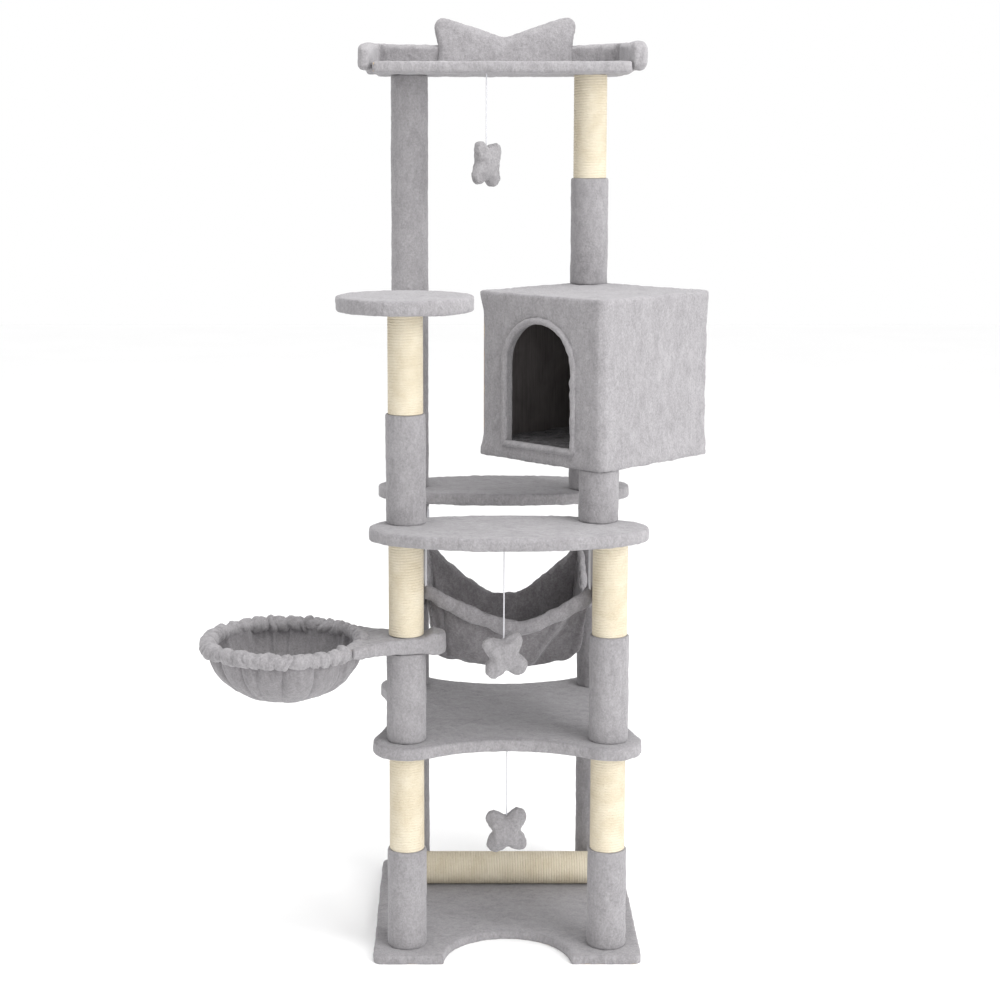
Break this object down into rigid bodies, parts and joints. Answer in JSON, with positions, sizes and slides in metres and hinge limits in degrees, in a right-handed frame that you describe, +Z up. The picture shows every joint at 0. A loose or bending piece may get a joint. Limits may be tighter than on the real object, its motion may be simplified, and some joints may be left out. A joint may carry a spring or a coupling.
{
  "type": "cat tree",
  "caption": "Tall cat tree with plush-covered boards on sisal and plush posts, a corner-set house, a hammock, a side basket, a round perch, a crested top nest and hanging toys.",
  "frame": {"origin": "centre of the square base on the floor, midway between the four lower posts", "axes": "+Z up along the posts, -Y towards the base's notch and the oval front step, +X to the side of the house, away from the basket"},
  "size_m": [0.9538, 0.7338, 1.7662],
  "materials": {
    "chipboard": "raw chipboard",
    "cardboard": "spiral-wound kraft tube",
    "plug": "moulded",
    "steel": "zinc plated",
    "sisal": "wound sisal rope",
    "plush": "short-pile plush",
    "felt": "thin dark felt",
    "dark_plush": "long-pile plush",
    "cord": "braided white cord"
  },
  "bodies": {
    "root": {"base_board": "chipboard", "lower_platform_board": "chipboard", "front_step_board": "chipboard", "rear_step_board": "chipboard", "perch_board": "chipboard", "top_platform_board": "chipboard", "house_floor_board": "chipboard", "house_roof_board": "chipboard", "house_door_panel": "chipboard", "house_wall_panels": "chipboard", "basket_frame": "chipboard", "lower_post_tubes": "cardboard", "middle_post_tubes": "cardboard", "basket_post_tubes": "cardboard", "house_post_tubes": "cardboard", "upper_post_tubes": "cardboard", "crossbar_tube": "cardboard", "post_end_plugs": "plug", "joining_studs": "steel", "base_bolts": "steel", "platform_bolts": "steel", "hammock_hooks": "steel", "cord_staples": "steel", "lower_sisal_wraps": "sisal", "basket_post_sisal": "sisal", "middle_right_sisal": "sisal", "perch_post_sisal": "sisal", "roof_post_sisal": "sisal", "crossbar_sisal": "sisal", "base_cover": "plush", "lower_platform_cover": "plush", "front_step_cover": "plush", "rear_step_cover": "plush", "perch_cover": "plush", "top_platform_cover": "plush", "lower_front_sleeves": "plush", "lower_rear_sleeves": "plush", "middle_rear_sleeves": "plush", "house_post_sleeves": "plush", "basket_post_sleeve": "plush", "middle_right_sleeve": "plush", "perch_post_sleeve": "plush", "tall_post_sleeve": "plush", "roof_post_sleeve": "plush", "house_cover": "plush", "door_piping": "plush", "top_bolster": "plush", "top_crest": "plush", "basket_rim": "plush", "basket_bowl": "plush", "hammock": "plush", "house_lining": "felt", "house_mat": "dark_plush", "hammock_loops": "cord"},
    "top_cord": {"top_toy_cord": "cord"},
    "top_toy": {"top_toy": "plush"},
    "middle_cord": {"middle_toy_cord": "cord"},
    "middle_toy": {"middle_toy": "plush"},
    "lower_cord": {"lower_toy_cord": "cord"},
    "lower_toy": {"lower_toy": "plush"}
  },
  "joints": [
    {"name": "top_cord_swing", "type": "hinge", "parent": "root", "child": "top_cord", "pos_m": [-0.038, 0.06, 1.64145], "axis": [0, 1, 0], "range_deg": [-40, 40]},
    {"name": "top_toy_swing", "type": "hinge", "parent": "top_cord", "child": "top_toy", "pos_m": [-0.038, 0.06, 1.50455], "axis": [1, 0, 0], "range_deg": [-40, 40]},
    {"name": "middle_cord_swing", "type": "hinge", "parent": "root", "child": "middle_cord", "pos_m": [-0.009, -0.25, 0.79945], "axis": [0, 1, 0], "range_deg": [-28, 28]},
    {"name": "middle_toy_swing", "type": "hinge", "parent": "middle_cord", "child": "middle_toy", "pos_m": [-0.009, -0.25, 0.62455], "axis": [1, 0, 0], "range_deg": [-40, 25]},
    {"name": "lower_cord_swing", "type": "hinge", "parent": "root", "child": "lower_cord", "pos_m": [0, -0.15, 0.38945], "axis": [0, 1, 0], "range_deg": [-40, 40]},
    {"name": "lower_toy_swing", "type": "hinge", "parent": "lower_cord", "child": "lower_toy", "pos_m": [0, -0.15, 0.25755], "axis": [1, 0, 0], "range_deg": [-40, 40]}
  ]
}
